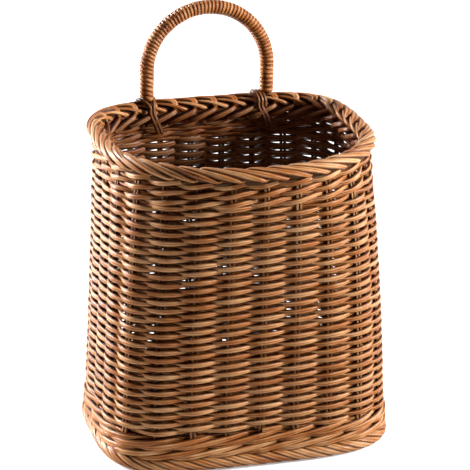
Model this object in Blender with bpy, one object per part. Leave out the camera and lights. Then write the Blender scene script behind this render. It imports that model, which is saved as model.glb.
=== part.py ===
"""Hanging wicker basket with a wrapped handle on its back wall, in metres, +Z up.

The basket stands on z = 0, its back wall towards +Y and its front towards -Y. Its walls follow one
middle surface, whose plan changes from a squarish foot to an oval-fronted rim. Every ring of the
basket is placed by its distance from that surface, and paired stakes stand in bores through the walls.
"""
import math

import bmesh
import bpy
import numpy as np
from mathutils import Vector

# Driving dimensions: the walls' middle surface
FOOT_HALF_WIDTH = 0.1203
RIM_HALF_WIDTH = 0.1070
HALF_DEPTH = 0.0920
RIM_CENTRE_HEIGHT = 0.2545
# Exponents of the plan outline: 2 is an ellipse, and more is squarer
FOOT_FRONT_SQUARENESS = 4.2
FOOT_BACK_SQUARENESS = 2.9
RIM_FRONT_SQUARENESS = 2.15
RIM_BACK_SQUARENESS = 4.2
SQUARENESS_GROWTH = 2

# Walls
SIDE_THICKNESS = 0.0090
WALE_THICKNESS = 0.0110
FOOT_WALE_HEIGHT = 0.0160
TOP_WALE_HEIGHT = 0.0180
SIDE_RUNS = 3
SEAT_GAP = 0.0003
# Rows of the side strand, and how far the wall dips below its bulges, at a stake and between stakes
SIDE_ROWS = 55
SIDE_DIP = 0.0022
SIDE_CROSSING_DIP = 0.0020
SIDE_ROW_START_SHARE = 0.5

# Stakes: pairs of thin rods
STAKE_COUNT = 25
STAKE_ROD_DIAMETER = 0.0025
STAKE_ROD_SPACING = 0.0030
STAKE_WAIST = 0.0016
STAKE_CLEARANCE = 0.00035
STAKE_END_CLEARANCE = 0.00055

# Foot border
FOOT_BORDER_HEIGHT = 0.0145
FOOT_BORDER_BULGE = 0.0056
FOOT_BORDER_SOLE = 0.0015
FOOT_BORDER_SHOULDER = 0.0030
FOOT_BORDER_INNER = 0.0050
FOOT_LIP_REACH = 0.0060
FOOT_LIP_HEIGHT = 0.0042
FOOT_BEVEL_OUTWARD_SHARE = 0.82
FOOT_BEVEL_HEIGHT_SHARE = 0.18

# Base
MAT_THICKNESS = 0.0098
BASE_STICK_COUNT = 7
BASE_STICK_DIAMETER = 0.0040
BASE_STICK_SPACING = 0.0230
BASE_STICK_CLEARANCE = 0.0003
BASE_STICK_SETBACK = 0.0010

# Rim border
RIM_BORDER_WIDTH = 0.0150
RIM_BORDER_HEIGHT = 0.0130
RIM_BORDER_OFFSET = 0.0018
RIM_SIDES = 8

# Handle
HANDLE_SPAN = 0.1060
HANDLE_LEG = 0.0330
HANDLE_ARCH = 0.0540
HANDLE_OFFSET = 0.0006
HANDLE_INSERTION = 0.0120
CORE_DIAMETER = 0.0056
CORE_BEVEL_COUNT = 2
ARCH_RUNS = 28
LEG_CLEARANCE = 0.0003

# Handle wrapping, as the sleeve that its turns fill
WRAP_THICKNESS = 0.0032
WRAP_CORE_GAP = 0.0003
WRAP_SIDES = 12

# Lashings: a doubled strand over the rim at each leg
LASHING_DIAMETER = 0.0026
LASHING_BEVEL_COUNT = 1
LASHING_GAP = 0.0003
LASHING_DROP = 0.0265
LASHING_SLANT = 0.0083
LASHING_PITCH = 0.0036
LASHING_CROSSING_DROP = 0.0033
LASHING_UPPER_SHARE = 0.35
LASHING_LOWER_SHARE = 0.60

OUTLINE_SAMPLES = 720
CUTTER_OVERRUN = 0.0020

FOOT_WALE_BOTTOM = FOOT_BORDER_HEIGHT + SEAT_GAP
SIDE_BOTTOM = FOOT_WALE_BOTTOM + FOOT_WALE_HEIGHT + SEAT_GAP
RIM_BOTTOM = RIM_CENTRE_HEIGHT - RIM_BORDER_HEIGHT / 2
RIM_TOP = RIM_CENTRE_HEIGHT + RIM_BORDER_HEIGHT / 2
TOP_WALE_TOP = RIM_BOTTOM - SEAT_GAP
TOP_WALE_BOTTOM = TOP_WALE_TOP - TOP_WALE_HEIGHT
SIDE_TOP = TOP_WALE_BOTTOM - SEAT_GAP
MAT_BOTTOM = FOOT_LIP_HEIGHT + SEAT_GAP
RING_SHARES = [step / (3 * STAKE_COUNT) for step in range(3 * STAKE_COUNT)]

WICKER_BROWN = (0.30, 0.135, 0.045)
STAKE_BROWN = (0.22, 0.095, 0.035)
BORDER_BROWN = (0.34, 0.16, 0.055)
BASE_BROWN = (0.20, 0.09, 0.035)
WIRE_BROWN = (0.055, 0.03, 0.02)
WRAP_BROWN = (0.38, 0.19, 0.07)


def clear_scene():
    for obj in list(bpy.data.objects):
        bpy.data.objects.remove(obj)


def material(name, colour, roughness, metallic=0.0):
    made = bpy.data.materials.new(name)
    made.use_nodes = True
    shader = made.node_tree.nodes["Principled BSDF"]
    shader.inputs["Base Color"].default_value = (*colour, 1.0)
    shader.inputs["Roughness"].default_value = roughness
    shader.inputs["Metallic"].default_value = metallic
    return made


def mesh_object(name, points, faces, look, sharp_angle=math.radians(40)):
    """A named object from points and faces, its normals turned outwards."""
    mesh = bpy.data.meshes.new(name)
    mesh.from_pydata([tuple(point) for point in points], [], faces)
    shell = bmesh.new()
    shell.from_mesh(mesh)
    bmesh.ops.recalc_face_normals(shell, faces=shell.faces)
    shell.to_mesh(mesh)
    shell.free()
    mesh.shade_smooth()
    mesh.set_sharp_from_angle(angle=sharp_angle)
    obj = bpy.data.objects.new(name, mesh)
    obj.data.materials.append(look)
    bpy.context.scene.collection.objects.link(obj)
    return obj


def wall_line(height):
    """(points, outward normals, shares of the way round, length) of the outline at a height.

    The outline starts at the middle of the front and runs towards +X.
    """
    rise = min(max(height / RIM_CENTRE_HEIGHT, 0.0), 1.0)
    half_width = FOOT_HALF_WIDTH + (RIM_HALF_WIDTH - FOOT_HALF_WIDTH) * rise
    grown = rise ** SQUARENESS_GROWTH
    front = FOOT_FRONT_SQUARENESS + (RIM_FRONT_SQUARENESS - FOOT_FRONT_SQUARENESS) * grown
    back = FOOT_BACK_SQUARENESS + (RIM_BACK_SQUARENESS - FOOT_BACK_SQUARENESS) * grown
    angles = np.linspace(-math.pi / 2, 1.5 * math.pi, OUTLINE_SAMPLES + 1)
    cosines, sines = np.cos(angles), np.sin(angles)
    power = np.where(sines < 0, front, back)
    radii = (abs(cosines / half_width) ** power + abs(sines / HALF_DEPTH) ** power) ** (-1 / power)
    points = np.column_stack([radii * cosines, radii * sines])
    steps = np.diff(points, axis=0)
    lengths = np.linalg.norm(steps, axis=1)
    shares = np.concatenate([[0.0], np.cumsum(lengths)]) / lengths.sum()
    ahead = np.roll(points[:-1], -1, axis=0) - np.roll(points[:-1], 1, axis=0)
    ahead /= np.linalg.norm(ahead, axis=1)[:, None]
    normals = np.column_stack([ahead[:, 1], -ahead[:, 0]])
    return points, np.vstack([normals, normals[:1]]), shares, lengths.sum()


def on_wall(height, share, along=0.0, outward=0.0, lift=0.0):
    """A point beside the middle surface: along it, outward from it, and lifted from the height."""
    points, normals, shares, length = wall_line(height)
    place = (share + along / length) % 1.0
    x, y = (np.interp(place, shares, points[:, axis]) for axis in (0, 1))
    normal = np.array([np.interp(place, shares, normals[:, axis]) for axis in (0, 1)])
    normal /= np.linalg.norm(normal)
    return np.array([x + normal[0] * outward, y + normal[1] * outward, height + lift])


def bore_section(rods_half, side_half):
    """(along, outward) corners of a stake's bore, from the left one, outer side first."""
    corner = STAKE_ROD_SPACING / 2 + STAKE_CLEARANCE
    return [(-rods_half, 0.0), (-corner, side_half), (corner, side_half),
            (rods_half, 0.0), (corner, -side_half), (-corner, -side_half)]


def bored_wall(name, heights, outer, inner, look):
    """A ring of wall through which every stake has its own bore, which runs through the given heights.

    outer and inner are the wall's skins: the (height, outward) points, from the bottom up, of columns that
    stand at every stake and midway between stakes.
    """
    side_half = STAKE_ROD_DIAMETER / 2 + STAKE_CLEARANCE
    rods_half = (STAKE_ROD_SPACING + STAKE_ROD_DIAMETER) / 2 + STAKE_END_CLEARANCE
    points, faces = [], []

    def placed(height, share, along, outward):
        points.append(on_wall(height, share, along, outward))
        return len(points) - 1

    skins = []
    for columns in (outer, inner):
        skins.append([[placed(height, place / len(columns), 0.0, outward) for height, outward in column]
                      for place, column in enumerate(columns)])
    for skin in skins:
        for place, column in enumerate(skin):
            faces += zipped(skin[place - 1], column, points)
    bores = [[[placed(height, stake / STAKE_COUNT, along, outward)
               for along, outward in bore_section(rods_half, side_half)]
              for height in heights] for stake in range(STAKE_COUNT)]
    for bore in bores:
        for low, high in zip(bore, bore[1:]):
            for corner in range(len(low)):
                faces.append((low[corner - 1], low[corner], high[corner], high[corner - 1]))
    for end in (0, -1):
        for stake, bore in enumerate(bores):
            left, outer_left, outer_right, right, inner_right, inner_left = bore[end]
            (out_before, out_at, out_after), (in_before, in_at, in_after) = (
                [skin[place][end] for place in (2 * stake - 1, 2 * stake, 2 * stake + 1)] for skin in skins)
            faces += [
                (out_before, out_at, outer_left, left), (out_at, outer_right, outer_left),
                (out_at, out_after, right, outer_right), (out_before, left, in_before),
                (out_after, in_after, right), (in_before, left, inner_left, in_at),
                (in_at, inner_left, inner_right), (in_at, inner_right, right, in_after),
            ]
    return mesh_object(name, points, faces, look)


def zipped(left, right, points):
    """Triangles between two columns of points, each from the bottom up."""
    faces = []
    here, there = 0, 0
    while here < len(left) - 1 or there < len(right) - 1:
        if there == len(right) - 1:
            climb_left = True
        elif here == len(left) - 1:
            climb_left = False
        else:
            up_left = abs(points[left[here + 1]][2] - points[right[there]][2])
            up_right = abs(points[left[here]][2] - points[right[there + 1]][2])
            climb_left = up_left <= up_right
        if climb_left:
            faces.append((left[here], right[there], left[here + 1]))
            here += 1
        else:
            faces.append((left[here], right[there], right[there + 1]))
            there += 1
    return faces


def plain_columns(heights, outward):
    return [[(height, outward) for height in heights] for _ in range(2 * STAKE_COUNT)]


def woven_columns():
    """Outer skin of the side weave, whose strand climbs round the basket as one spiral.

    It bulges over every second stake that it passes. As the stakes are an odd number, the bulges of one
    row lie over the dips of the row below.
    """
    bulge = SIDE_THICKNESS / 2
    dip = bulge - SIDE_DIP
    crossing = bulge - SIDE_CROSSING_DIP
    pitch = (SIDE_TOP - SIDE_BOTTOM) / (SIDE_ROWS + 1)
    columns = []
    for stake in range(STAKE_COUNT):
        over, between = [], []
        for row in range(SIDE_ROWS):
            laps = row + SIDE_ROW_START_SHARE + stake / STAKE_COUNT
            passed = row * STAKE_COUNT + stake
            over.append((SIDE_BOTTOM + pitch * laps, dip if passed % 2 else bulge))
            between.append((SIDE_BOTTOM + pitch * (laps + 0.5 / STAKE_COUNT), crossing))
        middle = (bulge + dip) / 2
        columns.append([(SIDE_BOTTOM, middle), *over, (SIDE_TOP, middle)])
        columns.append([(SIDE_BOTTOM, crossing), *between, (SIDE_TOP, crossing)])
    return columns


def side_weave(look):
    """The side weave: woven outside, and inside ribbed where its strand passes the stakes."""
    heights = level_heights(SIDE_BOTTOM, SIDE_TOP, SIDE_RUNS)
    half = SIDE_THICKNESS / 2
    rib = [(height, -half) for height in heights]
    hollow = [(height, SIDE_CROSSING_DIP - half) for height in heights]
    bored_wall("side_weave", heights, woven_columns(), [rib, hollow] * STAKE_COUNT, look)


def wale(name, heights, look):
    """A plain band of wall, with the outer and inner sides of the twisted rows."""
    half = WALE_THICKNESS / 2
    return bored_wall(name, heights, plain_columns(heights, half), plain_columns(heights, -half), look)


def level_heights(bottom, top, runs):
    return [bottom + (top - bottom) * run / runs for run in range(runs + 1)]


def stake_pairs(look):
    """Two rods side by side, joined along their touching line, in each bore of the walls."""
    reach = (STAKE_ROD_SPACING + STAKE_ROD_DIAMETER) / 2
    rod = STAKE_ROD_SPACING / 2
    side, waist = STAKE_ROD_DIAMETER / 2, STAKE_WAIST / 2
    section = [(-reach, 0.0), (-rod, side), (0.0, waist), (rod, side),
               (reach, 0.0), (rod, -side), (0.0, -waist), (-rod, -side)]
    heights = [FOOT_WALE_BOTTOM, *level_heights(SIDE_BOTTOM, SIDE_TOP, SIDE_RUNS), TOP_WALE_TOP]
    count = len(section)
    for stake in range(STAKE_COUNT):
        points = [on_wall(height, stake / STAKE_COUNT, along, outward)
                  for height in heights for along, outward in section]
        faces = [tuple(range(count)), tuple(range(len(points) - count, len(points)))]
        for row in range(len(heights) - 1):
            for corner in range(count):
                here, there = row * count + corner, row * count + (corner + 1) % count
                faces.append((here, there, there + count, here + count))
        mesh_object(f"stake_pair_{stake + 1:02d}", points, faces, look)


def swept_ring(name, section, height_of_plan, look):
    """A ring round the basket with a section of (outward, height) corners."""
    points = []
    for share in RING_SHARES:
        for outward, height in section:
            points.append(on_wall(height_of_plan, share, 0.0, outward, height - height_of_plan))
    count, rings = len(section), len(RING_SHARES)
    faces = []
    for ring in range(rings):
        for corner in range(count):
            here, there = ring * count + corner, ring * count + (corner + 1) % count
            ahead = ((ring + 1) % rings) * count
            faces.append((here, there, ahead + (corner + 1) % count, ahead + corner))
    return mesh_object(name, points, faces, look)


def foot_border(look):
    """Rolled border: flat sole, bulging outer side, and a lip that carries the base mat."""
    lip = -(FOOT_BORDER_INNER + FOOT_LIP_REACH)
    bulge = FOOT_BORDER_BULGE
    high, middle = FOOT_BORDER_HEIGHT, FOOT_BORDER_HEIGHT / 2
    section = [
        (lip, 0.0), (FOOT_BORDER_SOLE, 0.0),
        (bulge * FOOT_BEVEL_OUTWARD_SHARE, high * FOOT_BEVEL_HEIGHT_SHARE), (bulge, middle),
        (bulge * FOOT_BEVEL_OUTWARD_SHARE, high * (1 - FOOT_BEVEL_HEIGHT_SHARE)),
        (FOOT_BORDER_SHOULDER, high),
        (-FOOT_BORDER_INNER, high), (-FOOT_BORDER_INNER, FOOT_LIP_HEIGHT), (lip, FOOT_LIP_HEIGHT),
    ]
    swept_ring("foot_border", section, 0.0, look)


def rod_points(start, end, radius, sides):
    """Corners and faces of a straight round rod along X."""
    points, faces = [], []
    for x in (start[0], end[0]):
        for side in range(sides):
            angle = 2 * math.pi * (side + 0.5) / sides
            points.append((x, start[1] + radius * math.cos(angle), start[2] + radius * math.sin(angle)))
    faces.append(tuple(range(sides)))
    faces.append(tuple(range(sides, 2 * sides)))
    for side in range(sides):
        after = (side + 1) % sides
        faces.append((side, after, sides + after, sides + side))
    return points, faces


def cutter_object(name, parts):
    """Hidden guide that a Boolean cuts with, from lists of points and faces."""
    points, faces = [], []
    for part_points, part_faces in parts:
        start = len(points)
        points += part_points
        faces += [tuple(start + index for index in face) for face in part_faces]
    cutter = mesh_object(name, points, faces, material(name, BASE_BROWN, 1.0))
    cutter.hide_render = True
    cutter.display_type = "WIRE"
    return cutter


def cut(obj, cutter):
    boolean = obj.modifiers.new("bores", "BOOLEAN")
    boolean.operation = "DIFFERENCE"
    boolean.object = cutter


def base(look, stick_look):
    """Woven floor on the foot border's lip, with its stiff sticks in bores from side to side."""
    edge = -(FOOT_BORDER_INNER + SEAT_GAP)
    outline = [on_wall(0.0, share, 0.0, edge) for share in RING_SHARES]
    count = len(outline)
    points = [(x, y, height) for height in (MAT_BOTTOM, MAT_BOTTOM + MAT_THICKNESS) for x, y, _ in outline]
    faces = [tuple(range(count)), tuple(range(count, 2 * count))]
    faces += [(here, (here + 1) % count, count + (here + 1) % count, count + here) for here in range(count)]
    mat = mesh_object("base_mat", points, faces, look)
    middle = MAT_BOTTOM + MAT_THICKNESS / 2
    fine_y = np.array([point[1] for point in outline[:count // 2 + 1]])
    fine_x = np.array([point[0] for point in outline[:count // 2 + 1]])
    radius = BASE_STICK_DIAMETER / 2
    reach = FOOT_HALF_WIDTH + CUTTER_OVERRUN
    bores = []
    for stick in range(BASE_STICK_COUNT):
        y = (stick - (BASE_STICK_COUNT - 1) / 2) * BASE_STICK_SPACING
        half = min(np.interp(y - radius, fine_y, fine_x), np.interp(y + radius, fine_y, fine_x))
        half -= BASE_STICK_SETBACK
        rod = rod_points((-half, y, middle), (half, y, middle), radius, 8)
        mesh_object(f"base_stick_{stick + 1}", *rod, stick_look)
        bores.append(rod_points((-reach, y, middle), (reach, y, middle), radius + BASE_STICK_CLEARANCE, 8))
    cut(mat, cutter_object("base_bores", bores))


def leg_place(side):
    """Share of the way round the rim at which a handle leg stands: side is -1 for left, 1 for right."""
    points, _, shares, _ = wall_line(RIM_CENTRE_HEIGHT)
    back = points[:, 1] > 0
    order = np.argsort(points[back, 0])
    return float(np.interp(side * HANDLE_SPAN / 2, points[back, 0][order], shares[back][order]))


def leg_depth():
    """Y at which the handle stands in the back wall."""
    return float(on_wall(RIM_CENTRE_HEIGHT, leg_place(1), 0.0, HANDLE_OFFSET)[1])


def handle_line():
    """Centre line of the handle from the left leg's end to the right leg's, as (x, z) points."""
    half = HANDLE_SPAN / 2
    spring = RIM_CENTRE_HEIGHT + HANDLE_LEG
    foot = TOP_WALE_TOP - HANDLE_INSERTION
    line = [(-half, foot), (-half, RIM_TOP)]
    for run in range(ARCH_RUNS + 1):
        angle = math.pi * run / ARCH_RUNS
        line.append((-half * math.cos(angle), spring + HANDLE_ARCH * math.sin(angle)))
    line += [(half, RIM_TOP), (half, foot)]
    return np.array(line)


def tube(name, points, radius, look, extra_sides):
    """A curve object with a round bevel and filled ends through the given points."""
    curve = bpy.data.curves.new(name, "CURVE")
    curve.dimensions = "3D"
    curve.bevel_depth = radius
    curve.bevel_resolution = extra_sides
    curve.use_fill_caps = True
    spline = curve.splines.new("POLY")
    spline.points.add(len(points) - 1)
    for place, point in zip(spline.points, points):
        place.co = (*point, 1.0)
    curve.materials.append(look)
    obj = bpy.data.objects.new(name, curve)
    bpy.context.scene.collection.objects.link(obj)
    return obj


def leg_bores():
    """Upright rods where the handle's legs pass through the rim border into the top wale."""
    depth = leg_depth()
    radius = CORE_DIAMETER / 2 + LEG_CLEARANCE
    bottom = TOP_WALE_TOP - HANDLE_INSERTION - LEG_CLEARANCE
    parts = []
    for side in (-1, 1):
        points, faces = rod_points((bottom, 0.0, 0.0), (RIM_TOP + CUTTER_OVERRUN, 0.0, 0.0), radius, 12)
        upright = [(side * HANDLE_SPAN / 2 + y, depth + z, x) for x, y, z in points]
        parts.append((upright, faces))
    return cutter_object("leg_bores", parts)


def rim_corners(extra=0.0):
    """(outward, lift) corners of the rim's section, anticlockwise from its outer side.

    The section is larger all round by the extra.
    """
    corner_scale = 1 / math.cos(math.pi / RIM_SIDES)
    wide = (RIM_BORDER_WIDTH / 2 + extra) * corner_scale
    high = (RIM_BORDER_HEIGHT / 2 + extra) * corner_scale
    angles = [2 * math.pi * (corner + 0.5) / RIM_SIDES for corner in range(RIM_SIDES)]
    return [(RIM_BORDER_OFFSET + wide * math.cos(angle), high * math.sin(angle)) for angle in angles]


def rim_border(look, bores):
    """Rolled rim of rounded section, its flat underside on the top wale."""
    section = [(outward, RIM_CENTRE_HEIGHT + lift) for outward, lift in rim_corners()]
    cut(swept_ring("rim_border", section, RIM_CENTRE_HEIGHT, look), bores)


def handle_wrap(look):
    """Sleeve of the wound strand's outer shape, round the core from one leg's lashing to the other's."""
    line = handle_line()[1:-1]
    line[0][1] = line[-1][1] = RIM_TOP + LASHING_GAP + LASHING_DIAMETER + SEAT_GAP
    steps = np.diff(line, axis=0)
    steps /= np.linalg.norm(steps, axis=1)[:, None]
    tangents = np.vstack([steps[:1], steps[1:] + steps[:-1], steps[-1:]])
    tangents /= np.linalg.norm(tangents, axis=1)[:, None]
    depth = leg_depth()
    bore = (CORE_DIAMETER / 2 + WRAP_CORE_GAP) / math.cos(math.pi / WRAP_SIDES)
    outer = CORE_DIAMETER / 2 + WRAP_CORE_GAP + WRAP_THICKNESS
    points = []
    for (x, z), (ahead, up) in zip(line, tangents):
        for reach in (outer, bore):
            for side in range(WRAP_SIDES):
                angle = 2 * math.pi * side / WRAP_SIDES
                across = reach * math.sin(angle)
                points.append((x - up * across, depth + reach * math.cos(angle), z + ahead * across))
    count = 2 * WRAP_SIDES
    last = len(points) - count
    faces = []
    for side in range(WRAP_SIDES):
        after = (side + 1) % WRAP_SIDES
        for start in (0, last):
            rim = (start + side, start + after)
            faces.append((*rim, rim[1] + WRAP_SIDES, rim[0] + WRAP_SIDES))
        for start in range(0, last, count):
            for skin in (0, WRAP_SIDES):
                here, there = start + skin + side, start + skin + after
                faces.append((here, there, there + count, here + count))
    mesh_object("handle_wrap", points, faces, look)


def lashing(name, side, look):
    """Doubled strand over the rim on both sides of a leg, tied slantwise inside the back wall."""
    radius = LASHING_DIAMETER / 2
    clear = LASHING_GAP + radius
    share = leg_place(side)
    beside = CORE_DIAMETER / 2 + LEG_CLEARANCE + clear
    inside = RIM_BORDER_OFFSET - RIM_BORDER_WIDTH / 2 - clear
    wall = min(inside, -WALE_THICKNESS / 2 - clear)
    outside = RIM_BORDER_OFFSET + RIM_BORDER_WIDTH / 2 + clear
    upper, lower = LASHING_DROP * LASHING_UPPER_SHARE, LASHING_DROP * LASHING_LOWER_SHARE
    over = [(beside, wall, -upper), (beside, inside, 0.0)]
    over += [(beside, outward, lift) for outward, lift in reversed(rim_corners(clear)[:RIM_SIDES // 2])]
    over += [(beside, outside, 0.0), (beside / 2, outside, -LASHING_CROSSING_DROP)]
    turned = (LASHING_LOWER_SHARE - LASHING_UPPER_SHARE) / (1 - LASHING_UPPER_SHARE)
    second_end = LASHING_SLANT - LASHING_PITCH
    down_right = [(LASHING_SLANT, wall, -LASHING_DROP),
                  (beside + (LASHING_SLANT - beside) * turned, wall, -lower)]
    down_left = [(second_end, wall, -LASHING_DROP),
                 (-beside + (second_end + beside) * turned, wall, -lower)]
    route = down_right + over
    route += [(-along, outward, lift) for along, outward, lift in reversed(over)]
    route += reversed(down_left)
    # On the back the way round the wall runs towards the left, so a place to the right is negative
    points = [on_wall(RIM_CENTRE_HEIGHT, share, -along, outward, lift) for along, outward, lift in route]
    tube(name, points, radius, look, LASHING_BEVEL_COUNT)


def main():
    clear_scene()
    weave_look = material("woven_strand", WICKER_BROWN, 0.45)
    stake_look = material("stake_rod", STAKE_BROWN, 0.5)
    border_look = material("border_strand", BORDER_BROWN, 0.4)
    base_look = material("base_strand", BASE_BROWN, 0.55)
    wire_look = material("core_rod", WIRE_BROWN, 0.5)
    wrap_look = material("wrap_strand", WRAP_BROWN, 0.35)
    base(base_look, stake_look)
    foot_border(border_look)
    wale("foot_wale", [FOOT_WALE_BOTTOM, SIDE_BOTTOM - SEAT_GAP], border_look)
    side_weave(weave_look)
    bores = leg_bores()
    top_wale = wale("top_wale", [TOP_WALE_BOTTOM, TOP_WALE_TOP], border_look)
    cut(top_wale, bores)
    stake_pairs(stake_look)
    rim_border(border_look, bores)
    depth = leg_depth()
    core = [Vector((x, depth, z)) for x, z in handle_line()]
    tube("handle_core", core, CORE_DIAMETER / 2, wire_look, CORE_BEVEL_COUNT)
    handle_wrap(wrap_look)
    lashing("lashing_left", -1, wrap_look)
    lashing("lashing_right", 1, wrap_look)


main()
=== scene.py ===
"""Hanging basket of woven cane: its strands, borders, base, wrapped handle and studio stage."""
import math

import bpy
import numpy as np
from bpy.props import (
    FloatProperty, FloatVectorProperty, IntProperty, PointerProperty,
)
from bpy.types import Operator, Panel, PropertyGroup
from mathutils import Matrix, Vector


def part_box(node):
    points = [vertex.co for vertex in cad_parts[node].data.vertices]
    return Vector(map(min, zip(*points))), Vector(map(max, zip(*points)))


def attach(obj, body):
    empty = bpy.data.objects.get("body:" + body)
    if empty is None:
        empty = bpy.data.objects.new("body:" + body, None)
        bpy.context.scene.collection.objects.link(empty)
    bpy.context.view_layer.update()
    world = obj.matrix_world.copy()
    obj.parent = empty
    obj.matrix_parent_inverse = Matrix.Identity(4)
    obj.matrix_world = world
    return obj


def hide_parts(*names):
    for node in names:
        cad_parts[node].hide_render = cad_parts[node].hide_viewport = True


bl_info = {
    "name": "Woven Hanging Basket",
    "version": (1, 0, 0),
    "blender": (4, 5, 0),
    "location": "3D View > Sidebar > Basket",
    "description": "Weaves a wall basket strand by strand, with borders, base and a wrapped handle",
    "category": "Add Mesh",
}

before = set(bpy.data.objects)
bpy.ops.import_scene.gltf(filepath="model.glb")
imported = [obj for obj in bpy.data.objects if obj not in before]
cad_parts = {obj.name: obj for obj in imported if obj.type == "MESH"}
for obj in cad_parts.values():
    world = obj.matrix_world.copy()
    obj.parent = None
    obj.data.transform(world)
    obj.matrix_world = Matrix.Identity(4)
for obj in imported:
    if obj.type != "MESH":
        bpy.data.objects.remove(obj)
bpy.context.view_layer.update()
BODY = "root"

SIDE_BOTTOM, SIDE_TOP = (corner[2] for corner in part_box("side_weave"))
FOOT_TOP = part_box("foot_border")[1][2]
RIM_BOTTOM, RIM_TOP = (corner[2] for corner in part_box("rim_border"))
RIM_MIDDLE = (RIM_BOTTOM + RIM_TOP) / 2
MAT_MIDDLE = sum(corner[2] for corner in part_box("base_mat")) / 2
CORE_LOW, CORE_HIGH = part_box("handle_core")
CORE_DIAMETER = CORE_HIGH[1] - CORE_LOW[1]
HANDLE_TOP = CORE_HIGH[2] - CORE_DIAMETER / 2
HANDLE_DEPTH = (CORE_LOW[1] + CORE_HIGH[1]) / 2
HANDLE_HALF_SPAN = CORE_HIGH[0] - CORE_DIAMETER / 2
HANDLE_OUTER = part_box("handle_wrap")[1][1] - HANDLE_DEPTH
STICKS = sorted(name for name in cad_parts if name.startswith("base_stick"))
STAKES = sorted(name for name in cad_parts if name.startswith("stake_pair"))
STAKE_COUNT = len(STAKES)
UP = np.array([0.0, 0.0, 1.0])
WHITE = (1.0, 1.0, 1.0, 1.0)

# The walls are a table of plans at equal steps of height, each with points at equal shares of its length
OUTLINE_SAMPLES = 1440
WALL_LEVELS = 49
WALL_SHARES = 1500
# Points of a woven strand from one upright to the next
UPRIGHT_SAMPLES = 10


def metres(name, description, default):
    return FloatProperty(name=name, description=description, default=default, unit="LENGTH")


def degrees(name, description, default):
    return FloatProperty(name=name, description=description, default=math.radians(default), subtype="ANGLE")


def watts(name, description, default):
    return FloatProperty(name=name, description=description, default=default, unit="POWER")


def factor(name, description, default, least=0.0, most=1.0):
    return FloatProperty(
        name=name, description=description, default=default, subtype="FACTOR", min=least, max=most)


def squareness(name, default):
    return FloatProperty(name=name, description="2 is round, more is squarer", default=default, min=1.5)


def whole(name, description, default, least=0):
    return IntProperty(name=name, description=description, default=default, min=least)


def rgb(name, description, default):
    return FloatVectorProperty(
        name=name, description=description, default=default, subtype="COLOR", size=3, min=0, max=1)


class WallSizes(PropertyGroup):
    """Plan of the walls, which every strand follows."""
    foot_half_width: metres("Foot half width", "Half the walls' width at the foot", 0.1203)
    rim_half_width: metres("Rim half width", "Half the walls' width at the rim", 0.1070)
    half_depth: metres("Half depth", "Half the walls' depth", 0.0920)
    foot_front: squareness("Foot front squareness", 4.2)
    foot_back: squareness("Foot back squareness", 2.9)
    rim_front: squareness("Rim front squareness", 2.15)
    rim_back: squareness("Rim back squareness", 4.2)


class WeaveSizes(PropertyGroup):
    """Strands and uprights of the walls and the base."""
    rows: whole("Rows", "Rounds that the side strand makes", 55, 3)
    swing: metres("Swing", "How far a strand passes from the middle of the wall", 0.0031)
    strand_depth: metres("Strand depth", "Thickness of a side strand through the wall", 0.0029)
    strand_height: metres("Strand height", "Height of a side strand over an upright, on the front", 0.0052)
    crossing_share: factor(
        "Crossing share", "Height of a strand between uprights, as a share, on the front", 0.74, 0.3)
    back_growth: factor(
        "Back growth", "How much taller the strand is at the back than on the front", 0.12, 0.0, 0.3)
    back_crossing_share: factor(
        "Back crossing share", "Height of a strand between uprights, as a share, at the back", 1.0, 0.3, 1.2)
    lag: factor(
        "Lag", "How far past an upright a strand stands out most on the front, as a share of their distance",
        0.12, 0.0, 0.3)
    slant: metres("Slant", "How far a strand rises where it goes inside, on the front", 0.0005)
    dip: metres("Dip", "How far a strand lies lower inside the walls than outside", 0.0006)
    upright_diameter: metres("Upright diameter", "Diameter of one rod of a pair", 0.0028)
    upright_spacing: metres("Upright spacing", "Distance between the two rods of a pair", 0.0030)
    base_pitch: metres("Base pitch", "Distance between the base's strands", 0.0040)
    unevenness: factor("Unevenness", "How much strands vary in thickness", 0.06)
    seed: whole("Seed", "Seed of the strands' small differences", 7)


class BorderSizes(PropertyGroup):
    """Waled bands and rolled borders."""
    top_rows: whole("Top band rows", "Twisted rows under the rim", 3, 1)
    foot_rows: whole("Foot band rows", "Twisted rows above the foot", 2, 1)
    wale_swing: metres("Band swing", "How far a band's strand passes from the middle of the wall", 0.0034)
    wale_share: factor("Band strand share", "Height of a band's strand as a share of its row", 0.65, 0.2)
    wale_depth: metres("Band strand depth", "Thickness of a band's strand", 0.0032)
    lining_diameter: metres(
        "Lining diameter", "Diameter of the rods that lie behind a band's windows", 0.0035)
    rim_rods: whole("Rim rods", "Rods rolled over the rim", 37, 6)
    rim_rod_width: metres("Rim rod width", "Width of a rim rod", 0.0056)
    rim_rod_thickness: metres("Rim rod thickness", "Thickness of a rim rod", 0.0044)
    rim_advance: metres("Rim advance", "How far a rod runs on along the rim, down to its outer side", 0.048)
    foot_rods: whole("Foot rods", "Rods rolled round the foot", 50, 6)
    foot_rod_width: metres("Foot rod width", "Width of a foot rod", 0.0060)
    foot_rod_thickness: metres("Foot rod thickness", "Thickness of a foot rod", 0.0036)


class HandleSizes(PropertyGroup):
    """Wrapped handle and its lashings."""
    leg_pitch: metres("Leg pitch", "Distance between turns on the legs", 0.0040)
    arch_pitch: metres("Arch pitch", "Distance between turns on the arch", 0.0031)
    left_tilt: metres("Left tilt", "How far a turn leans along the left leg", 0.0030)
    arch_tilt: metres("Arch tilt", "How far a turn leans along the arch", 0.0010)
    strip_thickness: metres("Strip thickness", "Thickness of the strip wound round the handle", 0.0019)
    leg_height: metres("Leg height", "Straight length of a leg above the rim's middle", 0.0330)
    lashing_diameter: metres("Lashing diameter", "Diameter of a lashing strand", 0.0031)


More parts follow.
